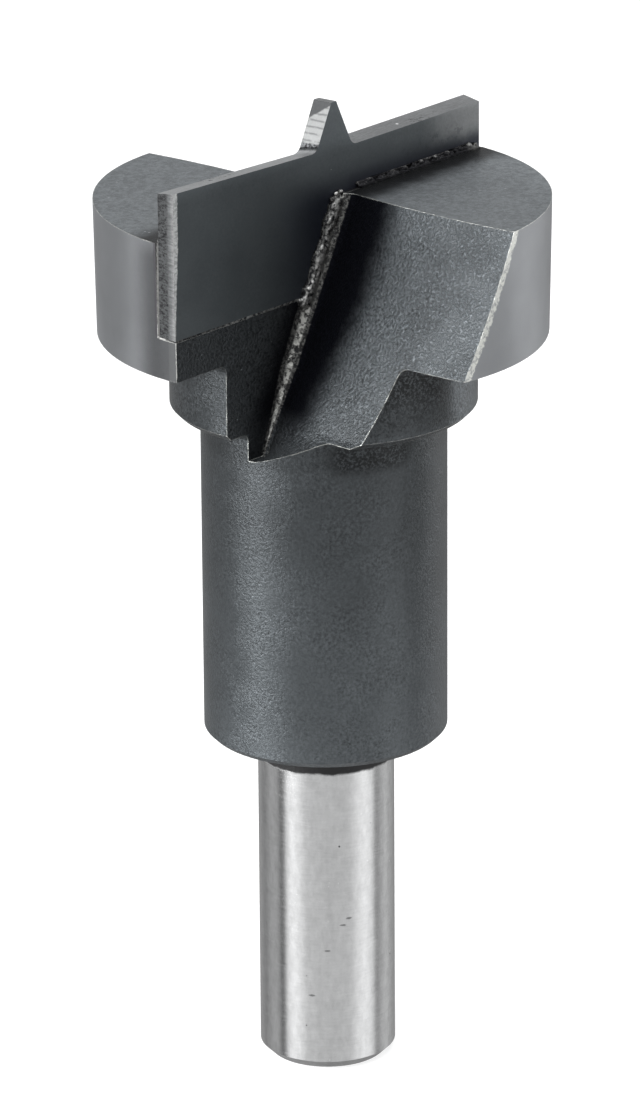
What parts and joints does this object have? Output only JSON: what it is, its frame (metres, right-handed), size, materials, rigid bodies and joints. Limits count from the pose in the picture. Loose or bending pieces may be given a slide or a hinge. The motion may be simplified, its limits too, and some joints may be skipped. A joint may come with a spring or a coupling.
{
  "type": "hinge boring bit",
  "caption": "Hinge boring bit: round shank, stepped dark steel body with two fluted wings, and a full-width brazed cutting plate with a centre point.",
  "frame": {"origin": "centre of the shank's end face", "axes": "+Z along the tool from the shank's end to the centre point, X along the cutting plate, the front flute opens towards -Y"},
  "size_m": [0.0328, 0.0326, 0.0728],
  "materials": {
    "blackened_steel": "black oxide with a fine grain; the shank is ground bright",
    "hard_metal": "ground, satin",
    "brazing_filler": "rough, dull"
  },
  "bodies": {
    "root": {"tool_body": "blackened_steel", "cutting_plate": "hard_metal", "braze_seam": "brazing_filler"}
  },
  "joints": []
}
